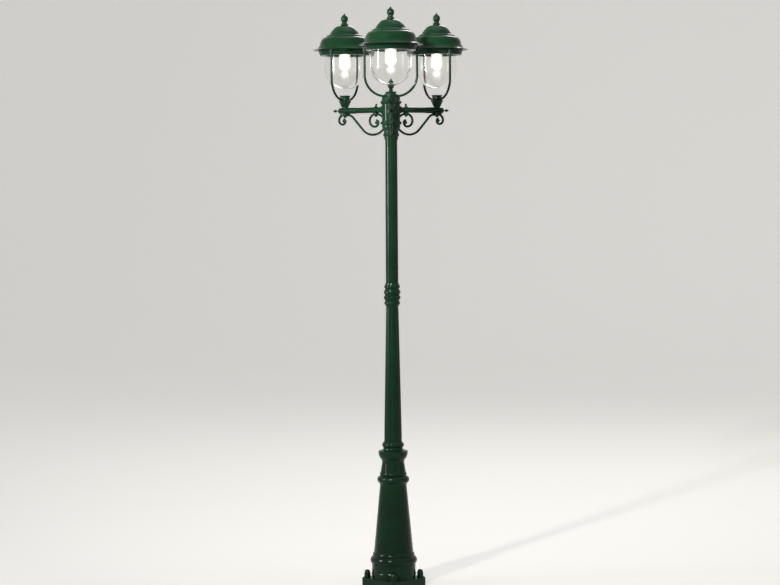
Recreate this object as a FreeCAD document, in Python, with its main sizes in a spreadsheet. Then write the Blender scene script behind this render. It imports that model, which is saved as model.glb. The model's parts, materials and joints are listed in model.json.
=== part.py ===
import FreeCAD, Part
import math
import os
import re
import Sketcher

# Garden lamp post with three lantern heads on three scrolled arms.
# Millimetres, +Z up. The origin is the centre of the foot's underside, on the
# post's axis. One arm points along -Y, the other two lie 120 degrees either way.

SIZES = (
    # foot and base casting
    ("foot_side", 180, "side of the square foot"),
    ("foot_corner", 12, "corner radius of the foot"),
    ("foot_thick", 33, "height of the foot"),
    ("foot_roof", 12, "thickness of the foot's top wall"),
    ("foot_wall", 8, "thickness of the foot's side walls"),
    ("anchor_circle", 204, "diameter of the circle of anchor holes"),
    ("anchor_hole", 17.4, "diameter of an anchor hole"),
    ("anchor_boss", 34, "diameter of the boss round an anchor hole"),
    ("nut_flats", 24, "anchor nut across its flats"),
    ("nut_hexagon", 13, "height of the anchor nut's hexagon"),
    ("nut_height", 28, "whole height of the domed anchor nut"),
    ("nut_bore", 16.8, "anchor nut's thread, taken at its root"),
    ("washer_size", 29, "anchor washer, outside diameter"),
    ("washer_thick", 3, "thickness of the anchor washer"),
    ("base_height", 560, "height of the base casting"),
    ("skirt_radius", 84.5, "radius of the round skirt above the foot"),
    ("skirt_height", 88, "top of the plain skirt above the ground"),
    ("skirt_ring", 14, "height of the ring round the skirt's foot"),
    ("torus_rise", 30, "height of the big ring on the skirt"),
    ("torus_curve", 18, "radius of the big ring's section"),
    ("bead_rise", 14, "height of a small ring"),
    ("bead_curve", 11, "radius of a small ring's section"),
    ("cone_foot_radius", 75.5, "radius at the foot of the base's cone"),
    ("cone_top_radius", 51.5, "radius at the top of the base's cone"),
    ("cone_top_drop", 169, "cone's top below the base's top"),
    ("knop_curve", 15, "radius of the upper big ring's section"),
    ("waist_radius", 43, "radius of the base's waist"),
    ("waist_drop", 82, "waist below the base's top"),
    ("flange_radius", 57, "radius of the flange above the waist"),
    ("flange_edge", 15, "height of the flange's edge"),
    ("flange_drop", 36, "top of the flange's edge below the base's top"),
    ("collar_radius", 38, "radius of the neck at the base's top"),
    ("base_wall", 7, "wall of the base casting"),
    # columns
    ("column_foot_radius", 34.5, "lower column's radius at its foot"),
    ("column_top_radius", 24, "lower column's radius at its top"),
    ("column_length", 521, "length of the lower column that shows"),
    ("spigot_radius", 28, "radius of the spigot under the lower column"),
    ("spigot_length", 60, "length of the spigot under the lower column"),
    ("column_bore", 18.2, "radius of the bore through both columns"),
    ("flute_count", 8, "flutes round the lower column"),
    ("flute_depth", 2.2, "depth of a flute"),
    ("flute_radius", 8.5, "radius of a flute's section"),
    ("flute_margin", 16, "plain band left at each end of the flutes"),
    ("joint_height", 90, "height of the ringed joint"),
    ("joint_radius", 27, "radius of the joint between its rings"),
    ("joint_ring", 15, "height of a ring on the joint"),
    ("joint_swell", 9.5, "radius of a joint ring's section"),
    ("joint_seat", 40, "depth of the upper column's seat in the joint"),
    ("sleeve_wall", 3, "wall of the sleeve inside the joint"),
    ("sleeve_reach", 85, "how far the sleeve enters each column"),
    ("upper_foot_radius", 24.5, "upper column's radius at its foot"),
    ("upper_top_radius", 23.2, "upper column's radius at its top"),
    ("play", 0.1, "gap round a piece in its seat"),
    # hub
    ("hub_level", 1735, "underside of the hub above the ground"),
    ("hub_height", 168, "height of the hub"),
    ("hub_radius", 34.5, "radius of the hub"),
    ("hub_neck_radius", 28, "radius of the hub's neck"),
    ("hub_neck_height", 26, "height of the hub's neck"),
    ("hub_ring_height", 12, "height of a ring round the hub"),
    ("hub_ring_curve", 6.2, "radius of a hub ring's section"),
    ("hub_ring_low", 54, "lower ring's middle above the hub's underside"),
    ("hub_ring_high", 135, "upper ring's middle above the hub's underside"),
    ("hub_socket", 62, "depth of the upper column's socket in the hub"),
    ("hub_floor", 8, "floor between the socket and the wiring space"),
    ("hub_wall", 8, "wall round the wiring space"),
    ("wire_radius", 7, "radius of the wire ways"),
    ("boss_radius", 15, "radius of the boss at each arm's root"),
    ("boss_reach", 41, "boss's face from the post's axis"),
    ("cap_spigot", 8, "depth of the hub cap's spigot"),
    ("cap_rise", 13, "height of the hub cap's dome"),
    ("cap_neck", 7, "radius of the cap finial's neck"),
    ("cap_ball", 11, "radius of the cap finial's ball"),
    ("block_size", 30, "length of the terminal block"),
    ("block_height", 18, "height of the terminal block"),
    # arms
    ("arm_level", 1837, "height of the arms' axis"),
    ("arm_reach", 206, "lamp axis from the post's axis"),
    ("arm_radius", 11, "radius of an arm"),
    ("arm_end_radius", 12, "radius of an arm's thicker end"),
    ("arm_end_inner", 49, "thicker end's start before the lamp axis"),
    ("arm_end_outer", 28, "thicker end's finish past the lamp axis"),
    ("arm_root", 27, "arm's inner end from the post's axis"),
    ("pad_radius", 19, "radius of the pad under the lamp axis"),
    ("pad_drop", 21, "pad's underside below the arm's axis"),
    ("tip_length", 28, "length of the arm's pointed tip"),
    ("tip_radius", 4.6, "radius of the pointed tip's bud"),
    ("tip_point", 0.7, "radius left at the arm tip's and finials' points"),
    ("tip_pin", 2.5, "radius of the pin that holds the tip"),
    ("tip_pin_length", 8, "length of that pin"),
    # scrolls
    ("rod_radius", 3.75, "radius of the scrolls' rod"),
    ("eye_radius", 5.5, "radius of the ball at a scroll's eye"),
    ("belly_radius", 62, "radius of the big scroll's belly"),
    ("belly_centre", 45.5, "belly's centre out from the hub's face"),
    ("scroll_slope", 47.3, "slope of the big scroll's straight run"),
    ("crest_radius", 30, "radius where the straight run meets the crest"),
    ("crest_before", 14, "flat crest before the lamp axis"),
    ("crest_after", 7, "flat crest past the lamp axis"),
    ("volute_one", 20.3, "first radius of the big scroll's volute"),
    ("volute_two", 17.6, "second radius of the big scroll's volute"),
    ("volute_three", 14.4, "third radius of the big scroll's volute"),
    ("volute_four", 6.5, "last radius of both volutes"),
    ("curl_reach", 67, "small scroll's crest from the post's axis"),
    ("curl_root", 37, "small scroll's radius towards the hub"),
    ("curl_one", 28, "first radius of the small scroll's volute"),
    ("curl_two", 23, "second radius of the small scroll's volute"),
    ("curl_three", 17, "third radius of the small scroll's volute"),
    ("clamp_radius", 12, "radius of the clamp's pad"),
    ("clamp_width", 12, "width of the clamp's strap"),
    ("clamp_strap", 2.4, "thickness of the clamp's strap"),
    ("clamp_drop", 20, "clamp pad's underside below the arm's axis"),
    ("horn_rise", 11, "height of the bud above the clamp"),
    ("horn_lean", 4, "lean of the bud towards the hub"),
    ("horn_width", 6.5, "width of the bud"),
    ("horn_thick", 5, "thickness of the bud"),
    ("screw_radius", 2.5, "radius of a dome screw's shank"),
    ("screw_head", 6.2, "radius of a dome screw's head"),
    ("screw_rise", 6.5, "height of a dome screw's head"),
    ("screw_bite", 15, "length of a dome screw's shank"),
    # lamp heads, heights above the arms' axis
    ("cup_neck", 11.5, "radius of the cup's neck"),
    ("cup_leaf", 23.5, "radius at the tips of the cup's leaves"),
    ("cup_leaf_rise", 22, "leaf tips above the cup's foot"),
    ("cup_drum", 18.5, "radius of the cup's drum"),
    ("cup_height", 47, "height of the cup"),
    ("cup_rim", 21, "radius of the cup's rim"),
    ("cup_pin", 6, "radius of the cup's pin in the arm"),
    ("cup_pin_length", 12, "length of the cup's pin"),
    ("cup_groove", 4.2, "radius of a groove between leaves"),
    ("yoke_level", 42, "yoke's bar above the arms' axis"),
    ("yoke_radius", 4.5, "radius of the yoke's rod"),
    ("yoke_span", 98, "yoke's upright from the lamp axis"),
    ("yoke_bend", 79, "radius of the yoke's bends"),
    ("yoke_bite", 11, "how far the yoke enters the gallery"),
    ("gallery_level", 213, "underside of the gallery"),
    ("gallery_height", 24, "height of the gallery"),
    ("gallery_foot_radius", 95.5, "gallery's radius at its underside"),
    ("gallery_top_radius", 102, "gallery's radius at its top"),
    ("gallery_bore", 78.3, "radius of the gallery's bore"),
    ("gallery_ledge", 9, "ledge that the glass stands on"),
    ("gallery_lip", 83.5, "radius of the bore above the ledge"),
    ("lug_radius", 7.5, "radius of a lug that takes the yoke"),
    ("gasket_thick", 1.5, "thickness of the gasket"),
    ("glass_level", 81, "bottom of the glass"),
    ("glass_radius", 77, "radius of the glass"),
    ("glass_wall", 3, "thickness of the glass"),
    ("glass_rim", 3.5, "thickness of the glass's rim"),
    ("rim_gap", 0.6, "gap round the glass's rim"),
    ("roof_height", 91, "height of the roof above the gallery"),
    ("roof_shoulder", 46, "height of the roof's lower shoulder"),
    ("roof_step_radius", 58, "radius where the upper dome meets the step"),
    ("roof_shoulder_radius", 79, "radius at the top of the shoulder"),
    ("roof_drum_radius", 94, "radius of the roof's drum"),
    ("roof_neck_radius", 103, "radius where the brim starts"),
    ("brim_radius", 121.5, "radius of the brim"),
    ("brim_drop", 2, "brim's edge below the gallery's top"),
    ("brim_edge", 1.5, "thickness of the brim's edge"),
    ("roof_wall", 4, "wall of the roof"),
    ("roof_lip", 6, "depth of the lip inside the gallery"),
    ("roof_lip_wall", 3.7, "thickness of that lip"),
    ("lift_gap", 0.3, "gap between the roof's lip and the gallery"),
    ("stud_radius", 5, "radius of the stud under the roof's finial"),
    ("stud_length", 46, "length of that stud"),
    ("finial_foot", 13, "radius of the finial's foot"),
    ("finial_ring", 8, "height of the ring at the finial's foot"),
    ("finial_neck", 10, "radius of the finial's neck"),
    ("finial_acorn", 14, "radius of the finial's acorn"),
    ("finial_height", 49, "height of the finial"),
    ("holder_radius", 19, "radius of the lamp holder"),
    ("holder_height", 44, "height of the lamp holder"),
    ("holder_shell", 14, "radius of the lamp holder's bore"),
    ("holder_depth", 29, "depth of the lamp holder's bore"),
    ("holder_hang", 8, "stud's length inside the lamp holder"),
    ("cap_radius", 13.2, "radius of the bulb's cap"),
    ("cap_length", 25, "length of the bulb's cap"),
    ("bulb_radius", 22, "radius of the bulb"),
    ("bulb_length", 92, "length of the bulb below its cap"),
    ("bulb_neck", 15, "radius of the bulb's neck"),
    ("pin_radius", 2.5, "radius of a gallery screw's shank"),
    ("pin_head", 4.2, "radius of a gallery screw's head"),
    ("pin_head_length", 5, "length of a gallery screw's head"),
    ("pin_drop", 6.5, "gallery screws below the gallery's top"),
)

NAMES = {name for name, size, note in SIZES}
HEADS = (("front", -90), ("right", 30), ("left", 150))

doc = FreeCAD.newDocument("GardenLampPost")
sheet = doc.addObject("Spreadsheet::Sheet", "dim")
nodes = []


def fill_sheet():
    """One row per size: its name, its number, what it is."""
    for row, (name, size, note) in enumerate(SIZES, start=1):
        sheet.set(f"A{row}", name)
        sheet.set(f"B{row}", str(size))
        sheet.setAlias(f"B{row}", name)
        sheet.set(f"C{row}", note)
    doc.recompute()


def bound(text):
    """Turn size names in a formula into references to the sheet."""
    return re.sub(r"[a-z_]+", lambda word: "dim." + word.group() if word.group() in NAMES
                  else word.group(), text)


def number(text):
    """Today's value of a formula."""
    return float(sheet.evalExpression(bound(text)))


def point(x, y, z=0.0):
    return FreeCAD.Vector(x, y, z)


# ---------------------------------------------------------------- sketches

def origin_part(body, role):
    return next(item for item in body.Origin.OriginFeatures if item.Role == role)


def new_sketch(body, role, name, lift="0"):
    """A sketch on one of the body's own planes, lifted along the plane's normal."""
    sketch = body.newObject("Sketcher::SketchObject", name)
    sketch.AttachmentSupport = [(origin_part(body, role), "")]
    sketch.MapMode = "FlatFace"
    if lift != "0":
        sketch.setExpression("AttachmentOffset.Base.z", bound(lift))
    return sketch


def arc_between(start, end, radius, swells):
    """The short arc between two points, bulging to the right of travel if it swells."""
    chord = end - start
    middle = (start + end) * 0.5
    left = point(-chord.y, chord.x) * (1.0 / chord.Length)
    depth = math.sqrt(max(radius * radius - chord.Length * chord.Length / 4, 0.0))
    centre = middle + left * (depth if swells else -depth)
    first, last = (start, end) if swells else (end, start)
    low = math.atan2(first.y - centre.y, first.x - centre.x)
    high = math.atan2(last.y - centre.y, last.x - centre.x)
    if high < low:
        high += 2 * math.pi
    return Part.ArcOfCircle(Part.Circle(centre, point(0, 0, 1), radius), low, high)


def draw(sketch, steps, closed=True):
    """Draw an outline, anticlockwise, and bind each corner and radius to the sheet.

    A step is (x, y) for a straight side to that corner, or (x, y, "swell" or
    "hollow", radius) for an arc to it.
    """
    corners = [point(number(step[0]), number(step[1])) for step in steps]
    edges = range(len(steps)) if closed else range(1, len(steps))
    rules = []
    formulas = []

    def rule(kind, *what, text=None):
        if text is not None:
            formulas.append((len(rules), text))
            what += (number(text),)
        rules.append(Sketcher.Constraint(kind, *what))

    ends = {}
    shapes = []
    for count, i in enumerate(edges):
        step = steps[i]
        hollow = len(step) > 2 and step[2] == "hollow"
        if len(step) == 2:
            shapes.append(Part.LineSegment(corners[i - 1], corners[i]))
        else:
            shapes.append(arc_between(corners[i - 1], corners[i], number(step[3]), not hollow))
        ends[i] = (count, 2 if hollow else 1, 1 if hollow else 2)
    sketch.addGeometry(shapes, False)
    for i in edges:
        edge, tail, head = ends[i]
        before = (i - 1) % len(steps)
        if before in ends:
            rule("Coincident", ends[before][0], ends[before][2], edge, tail)
        else:
            pin(rule, edge, tail, steps[before])
        pin(rule, edge, head, steps[i])
        if len(steps[i]) > 2:
            rule("Radius", edge, text=steps[i][3])
    sketch.addConstraint(rules)
    for index, text in formulas:
        sketch.setExpression(f"Constraints[{index}]", bound(text))


def pin(rule, edge, end, step):
    """Hold one end of an edge at the step's corner."""
    for text, axis, kind in ((step[0], -2, "DistanceX"), (step[1], -1, "DistanceY")):
        if text == "0":
            rule("PointOnObject", edge, end, axis)
        else:
            rule(kind, -1, 1, edge, end, text=text)


def draw_circle(sketch, x, y, radius):
    sketch.addGeometry(Part.Circle(point(number(x), number(y)), point(0, 0, 1), number(radius)))
    held = [(x, "DistanceX", -2), (y, "DistanceY", -1)]
    for text, kind, axis in held:
        if text == "0":
            sketch.addConstraint(Sketcher.Constraint("PointOnObject", 0, 3, axis))
        else:
            index = sketch.addConstraint(Sketcher.Constraint(kind, -1, 1, 0, 3, number(text)))
            sketch.setExpression(f"Constraints[{index}]", bound(text))
    index = sketch.addConstraint(Sketcher.Constraint("Radius", 0, number(radius)))
    sketch.setExpression(f"Constraints[{index}]", bound(radius))


# ---------------------------------------------------------------- features

def new_body(label):
    body = doc.addObject("PartDesign::Body", label)
    body.Label = label
    nodes.append(body)
    return body


def turn(body, name, steps, kind="PartDesign::Revolution", about="V_Axis"):
    """Revolve an outline of (radius, height), or cut it away with a groove."""
    sketch = new_sketch(body, "XZ_Plane", name + "_outline")
    draw(sketch, steps)
    feature = body.newObject(kind, name)
    feature.Profile = sketch
    feature.ReferenceAxis = (sketch, [about])
    feature.Angle = 360
    sketch.Visibility = False
    return feature


def turned(label, steps, about="V_Axis"):
    body = new_body(label)
    turn(body, label + "_turn", steps, about=about)
    return body


def extrude(body, name, kind, sketch, length, flip=False):
    feature = body.newObject(kind, name)
    feature.Profile = sketch
    feature.Length = number(length)
    feature.setExpression("Length", bound(length))
    feature.Reversed = flip
    return feature


def round_feature(body, name, kind, plane, centre, radius, lift, length, flip=False):
    """A round pad, or a round pocket, square to one of the body's planes."""
    sketch = new_sketch(body, plane, name + "_circle", lift)
    draw_circle(sketch, centre[0], centre[1], radius)
    return extrude(body, name, kind, sketch, length, flip)


def shaped_feature(body, name, kind, plane, steps, lift, length, flip=False):
    sketch = new_sketch(body, plane, name + "_outline", lift)
    draw(sketch, steps)
    return extrude(body, name, kind, sketch, length, flip)


def around(body, feature, name, copies):
    """Repeat a feature evenly about the body's Z axis."""
    pattern = body.newObject("PartDesign::PolarPattern", name)
    pattern.Originals = [feature]
    pattern.Axis = (origin_part(body, "Z_Axis"), [""])
    pattern.Angle = 360
    pattern.Occurrences = copies
    body.Tip = pattern
    return pattern


def seat(item, x="0", y="0", z="0", turned_by=0.0):
    """Place a sub-part, with its position bound to the sheet."""
    item.Placement = FreeCAD.Placement(
        point(number(x), number(y), number(z)),
        FreeCAD.Rotation(point(0, 0, 1), turned_by))
    for axis, text in (("x", x), ("y", y), ("z", z)):
        if text != "0":
            item.setExpression("Placement.Base." + axis, bound(text))


def feature_node(label, shape):
    item = doc.addObject("Part::Feature", label)
    item.Label = label
    item.Shape = shape
    nodes.append(item)
    return item


# ---------------------------------------------------------------- levels

COLUMN_TOP = "base_height + column_length"
UPPER_FOOT = "base_height + column_length + joint_height - joint_seat"
HUB_TOP = "hub_level + hub_height"
GALLERY_TOP = "gallery_level + gallery_height"


# ---------------------------------------------------------------- post

def base_casting():
    """Square hollow foot, round skirt, tapering cone, waist and flange in one casting."""
    body = new_body("base_casting")
    half = "foot_side / 2"
    side = "foot_side"
    near = "foot_corner"
    far = "foot_side - foot_corner"
    plate = [("0", near), (near, "0", "swell", "foot_corner"), (far, "0"),
             (side, near, "swell", "foot_corner"), (side, far),
             (far, side, "swell", "foot_corner"), (near, side),
             ("0", far, "swell", "foot_corner")]
    sketch = new_sketch(body, "XY_Plane", "plate_outline")
    draw(sketch, plate)
    for axis in "xy":
        sketch.setExpression("AttachmentOffset.Base." + axis, bound("-" + half))
    extrude(body, "plate", "PartDesign::Pad", sketch, "foot_thick")
    inner = "foot_side - foot_wall"
    recess = [("foot_wall", "foot_wall"), (inner, "foot_wall"), (inner, inner),
              ("foot_wall", inner)]
    sketch = new_sketch(body, "XY_Plane", "recess_outline")
    draw(sketch, recess)
    for axis in "xy":
        sketch.setExpression("AttachmentOffset.Base." + axis, bound("-" + half))
    extrude(body, "recess", "PartDesign::Pocket", sketch, "foot_thick - foot_roof", True)
    diagonal = "anchor_circle / 2 * sqrt(0.5)"
    boss = round_feature(body, "anchor_boss_pad", "PartDesign::Pad", "XY_Plane",
                         (diagonal, diagonal), "anchor_boss / 2", "0", "foot_thick")
    around(body, boss, "anchor_bosses", 4)
    turn(body, "skirt_and_cone", base_outline())
    hole = round_feature(body, "anchor_hole_cut", "PartDesign::Pocket", "XY_Plane",
                         (diagonal, diagonal), "anchor_hole / 2", "0", "foot_thick", True)
    around(body, hole, "anchor_holes", 4)
    seat(body, turned_by=45.0)


def base_outline():
    """Section of the round part of the base, outside then inside."""
    ring_low = "foot_thick + 9"
    torus_top = "skirt_height + torus_rise"
    bead_top = torus_top + " + bead_rise"
    knop_low = "base_height - cone_top_drop + 9"
    knop_top = knop_low + " + torus_rise - 2"
    astragal = knop_top + " + bead_rise"
    flange_top = "base_height - flange_drop"
    return [
        ("skirt_radius - base_wall", "0"),
        ("skirt_radius", "0"),
        ("skirt_radius", ring_low),
        ("skirt_radius", ring_low + " + skirt_ring", "swell", "skirt_ring"),
        ("skirt_radius", "skirt_height"),
        ("cone_foot_radius + 4.5", torus_top, "swell", "torus_curve"),
        ("cone_foot_radius + 1", bead_top, "swell", "bead_curve"),
        ("cone_foot_radius", bead_top + " + 8"),
        ("cone_top_radius", "base_height - cone_top_drop"),
        ("cone_top_radius + 2.5", knop_low),
        ("cone_top_radius - 1.5", knop_top, "swell", "knop_curve"),
        ("cone_top_radius - 2.5", astragal, "swell", "bead_curve"),
        ("waist_radius", "base_height - waist_drop"),
        ("flange_radius - 6", flange_top + " - flange_edge - 12", "hollow", "bead_curve * 2"),
        ("flange_radius - 1", flange_top + " - flange_edge"),
        ("flange_radius", flange_top),
        ("collar_radius + 1", flange_top + " + 6"),
        ("collar_radius", "base_height - 22", "hollow", "bead_curve"),
        ("collar_radius", "base_height - 4", "swell", "bead_curve"),
        ("collar_radius - 2", "base_height"),
        ("spigot_radius + play", "base_height"),
        ("spigot_radius + play", "base_height - spigot_length - play"),
        ("column_bore", "base_height - spigot_length - play"),
        ("column_bore", "base_height - spigot_length - 70"),
        ("cone_top_radius - base_wall", "base_height - cone_top_drop"),
        ("cone_foot_radius - base_wall", bead_top + " + 8"),
        ("skirt_radius - base_wall", "skirt_height"),
    ]


def anchor_fittings():
    """Four washers and four domed nuts on the foot's corners, their bores open below."""
    ring = number("anchor_circle") / 2
    floor = number("foot_thick")
    washer = Part.makeCylinder(number("washer_size") / 2, number("washer_thick"))
    washer = washer.cut(Part.makeCylinder(number("anchor_hole") / 2, number("washer_thick")))
    flats = number("nut_flats")
    hexagon = number("nut_hexagon")
    height = number("nut_height")
    corners = [point(flats / math.sqrt(3) * math.cos(math.radians(60 * k + 30)),
                     flats / math.sqrt(3) * math.sin(math.radians(60 * k + 30)))
               for k in range(7)]
    prism = Part.Face(Part.makePolygon(corners)).extrude(point(0, 0, hexagon))
    dome_radius = flats / 2 - 0.5
    dome_base = height - dome_radius
    dome = Part.makeCylinder(dome_radius, dome_base)
    dome = dome.fuse(Part.makeSphere(dome_radius, point(0, 0, dome_base), point(0, 0, 1), 0, 90))
    nut = prism.fuse(dome).removeSplitter()
    nut = nut.cut(Part.makeCylinder(number("nut_bore") / 2, height - 6))
    for label, shape, level in (("anchor_washers", washer, floor),
                                ("anchor_nuts", nut, floor + number("washer_thick"))):
        group = []
        for quarter in range(4):
            angle = math.radians(90 * quarter)
            copy = shape.copy()
            copy.translate(point(ring * math.cos(angle), ring * math.sin(angle), level))
            group.append(copy)
        feature_node(label, Part.makeCompound(group))


def lower_column():
    """Fluted tapering column with a spigot that stands in the base."""
    shoulder = "spigot_length"
    top = "spigot_length + column_length"
    body = turned("lower_column", [
        ("column_bore", "0"),
        ("spigot_radius", "0"),
        ("spigot_radius", shoulder),
        ("column_foot_radius", shoulder),
        ("column_top_radius", top),
        ("column_bore", top),
    ])
    low = "spigot_length + flute_margin"
    high = "spigot_length + column_length - flute_margin"
    lean = "(column_foot_radius - column_top_radius) / column_length * flute_margin"
    sections = []
    for name, level, radius in (("low", low, "column_foot_radius - " + lean),
                                ("high", high, "column_top_radius + " + lean)):
        sketch = new_sketch(body, "XY_Plane", "flute_" + name, level)
        share = "" if name == "low" else " * column_top_radius / column_foot_radius"
        section = "(flute_radius" + share + ")"
        draw_circle(sketch, radius + " + " + section + " - flute_depth" + share, "0", section)
        sections.append(sketch)
    flute = body.newObject("PartDesign::SubtractiveLoft", "flute")
    flute.Profile = sections[0]
    flute.Sections = [sections[1]]
    flute.Ruled = True
    around(body, flute, "flutes", round(number("flute_count")))
    seat(body, z="base_height - spigot_length", turned_by=-101.25)


def joint_collar():
    """Ringed collar that joins the two columns."""
    steps = [
        ("column_bore", "0"),
        ("column_top_radius", "0"),
    ]
    gap = "(joint_height - 4 * joint_ring) / 5"
    for ring in range(4):
        start = f"{ring + 1} * {gap} + {ring} * joint_ring"
        waist = "joint_radius + 2" if ring in (1, 2) else "joint_radius"
        steps.append((waist, start))
        steps.append((waist, start + " + joint_ring", "swell", "joint_swell"))
    seat_floor = "joint_height - joint_seat"
    steps += [
        ("upper_foot_radius + 1.5", "joint_height"),
        ("upper_foot_radius + play", "joint_height"),
        ("upper_foot_radius + play", seat_floor),
        ("column_bore", seat_floor),
    ]
    body = turned("joint_collar", steps)
    seat(body, z=COLUMN_TOP)


def joint_sleeve():
    """Steel sleeve inside the joint, entering both columns."""
    length = "2 * sleeve_reach + joint_height - joint_seat"
    body = turned("joint_sleeve", [
        ("column_bore - play - sleeve_wall", "0"),
        ("column_bore - play", "0"),
        ("column_bore - play", length),
        ("column_bore - play - sleeve_wall", length),
    ])
    seat(body, z=COLUMN_TOP + " - sleeve_reach")


def upper_column():
    length = "hub_level + hub_socket - base_height - column_length - joint_height + joint_seat"
    body = turned("upper_column", [
        ("column_bore", "0"),
        ("upper_foot_radius", "0"),
        ("upper_top_radius", length),
        ("column_bore", length),
    ])
    seat(body, z=UPPER_FOOT)


# ---------------------------------------------------------------- hub

def hub_casting():
    """Hub with a neck, two rings, three arm bosses and a wiring space."""
    ring_half = "hub_ring_height / 2"
    neck = "hub_neck_radius"
    body = turned("hub_casting", [
        ("0", "0"),
        (neck + " - 1", "0"),
        (neck + " - 1", "2"),
        (neck + " - 1", "2 + bead_rise", "swell", "bead_curve - 2"),
        (neck, "hub_neck_height"),
        ("hub_radius", "hub_neck_height + 7"),
        ("hub_radius", "hub_ring_low - " + ring_half),
        ("hub_radius", "hub_ring_low + " + ring_half, "swell", "hub_ring_curve"),
        ("hub_radius", "hub_ring_high - " + ring_half),
        ("hub_radius", "hub_ring_high + " + ring_half, "swell", "hub_ring_curve"),
        ("hub_radius", "hub_height"),
        ("0", "hub_height"),
    ])
    level = "arm_level - hub_level"
    boss = round_feature(body, "arm_boss", "PartDesign::Pad", "YZ_Plane", ("0", level),
                         "boss_radius", "hub_radius - hub_wall", "boss_reach - hub_radius + hub_wall")
    around(body, boss, "arm_bosses", 3)
    turn(body, "socket", [
        ("0", "0"),
        ("upper_top_radius + play", "0"),
        ("upper_top_radius + play", "hub_socket"),
        ("wire_radius + 3", "hub_socket"),
        ("wire_radius + 3", "hub_socket + hub_floor"),
        ("hub_radius - hub_wall", "hub_socket + hub_floor"),
        ("hub_radius - hub_wall", "hub_height"),
        ("0", "hub_height"),
    ], kind="PartDesign::Groove")
    hole = round_feature(body, "arm_hole", "PartDesign::Pocket", "YZ_Plane", ("0", level),
                         "arm_radius + play", "boss_reach", "boss_reach - 10")
    around(body, hole, "arm_holes", 3)
    seat(body, z="hub_level", turned_by=-90.0)


def hub_cap():
    """Domed lid with a ball finial, its spigot in the hub."""
    rim = "cap_spigot"
    dome = "cap_spigot + 3 + cap_rise - 3"
    body = turned("hub_cap", [
        ("0", "0"),
        ("hub_radius - hub_wall - play", "0"),
        ("hub_radius - hub_wall - play", rim),
        ("hub_radius - 1", rim),
        ("hub_radius - 1", rim + " + 3"),
        ("cap_neck + 4", dome, "swell", "cap_rise * 2.2"),
        ("cap_neck + 2", dome + " + 7", "swell", "4.5"),
        ("cap_neck", dome + " + 13", "hollow", "6"),
        ("cap_neck", dome + " + 16"),
        ("cap_neck - 3", dome + " + 33", "swell", "cap_ball"),
        ("tip_point", dome + " + 44", "hollow", "20"),
        ("0", dome + " + 44"),
    ])
    seat(body, z=HUB_TOP + " - cap_spigot")


def terminal_block():
    """Block in the hub where the supply divides to the three lamps."""
    body = new_body("terminal_block")
    outline = [("0", "0"), ("block_size", "0"), ("block_size", "block_size / 2"),
               ("0", "block_size / 2")]
    sketch = new_sketch(body, "XY_Plane", "block_outline")
    draw(sketch, outline)
    sketch.setExpression("AttachmentOffset.Base.x", bound("-block_size / 2"))
    sketch.setExpression("AttachmentOffset.Base.y", bound("-block_size / 4"))
    extrude(body, "block", "PartDesign::Pad", sketch, "block_height")
    for way in range(3):
        round_feature(body, f"terminal_{way}", "PartDesign::Pocket", "XZ_Plane",
                      (f"block_size * ({way} + 0.5) / 3", "block_height / 2"), "2.5",
                      "-block_size", "2 * block_size", True)
    return body


# ---------------------------------------------------------------- arms

def arm(side, angle):
    """Round arm with a thicker end, a seat for the cup and a slotted pad below."""
    root = "arm_root"
    end = "arm_reach + arm_end_outer"
    thick = "arm_reach - arm_end_inner"
    body = turned("arm_" + side, [
        (root, "wire_radius"),
        ("arm_reach", "wire_radius"),
        ("arm_reach + wire_radius", "0", "hollow", "wire_radius + 1"),
        (end + " - tip_pin_length", "0"),
        (end + " - tip_pin_length", "tip_pin + play"),
        (end, "tip_pin + play"),
        (end, "arm_end_radius - 5"),
        (end + " - 8", "arm_end_radius", "swell", "12"),
        (thick, "arm_end_radius"),
        (thick + " - 3", "arm_radius"),
        (root, "arm_radius"),
    ], about="H_Axis")
    spot = ("arm_reach", "0")
    name = side + "_"
    round_feature(body, name + "cup_seat", "PartDesign::Pad", "XY_Plane", spot,
                  "cup_neck + 1.5", "arm_end_radius - 4", "4")
    round_feature(body, name + "pad", "PartDesign::Pad", "XY_Plane", spot,
                  "pad_radius", "-pad_drop", "pad_drop - arm_end_radius + 4")
    slot_half = "rod_radius + play"
    slot = [("0", "0"), ("2 * pad_radius", "0"), ("2 * pad_radius", "2 * (" + slot_half + ")"),
            ("0", "2 * (" + slot_half + ")")]
    sketch = new_sketch(body, "XY_Plane", name + "slot_outline", "-pad_drop")
    draw(sketch, slot)
    sketch.setExpression("AttachmentOffset.Base.x", bound("arm_reach - pad_radius"))
    sketch.setExpression("AttachmentOffset.Base.y", bound("-rod_radius - play"))
    extrude(body, name + "slot", "PartDesign::Pocket", sketch,
            "pad_drop - arm_end_radius - play", True)
    round_feature(body, name + "cup_hole", "PartDesign::Pocket", "XY_Plane", spot,
                  "cup_pin + play", "arm_end_radius", "arm_end_radius")
    round_feature(body, name + "screw_hole", "PartDesign::Pocket", "XY_Plane", spot,
                  "screw_radius + play", "-pad_drop", "pad_drop - 2", True)
    round_feature(body, name + "clamp_hole", "PartDesign::Pocket", "XY_Plane", ("curl_reach", "0"),
                  "screw_radius + play", "-pad_drop", "pad_drop - 2", True)
    seat(body, z="arm_level", turned_by=angle)


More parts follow.
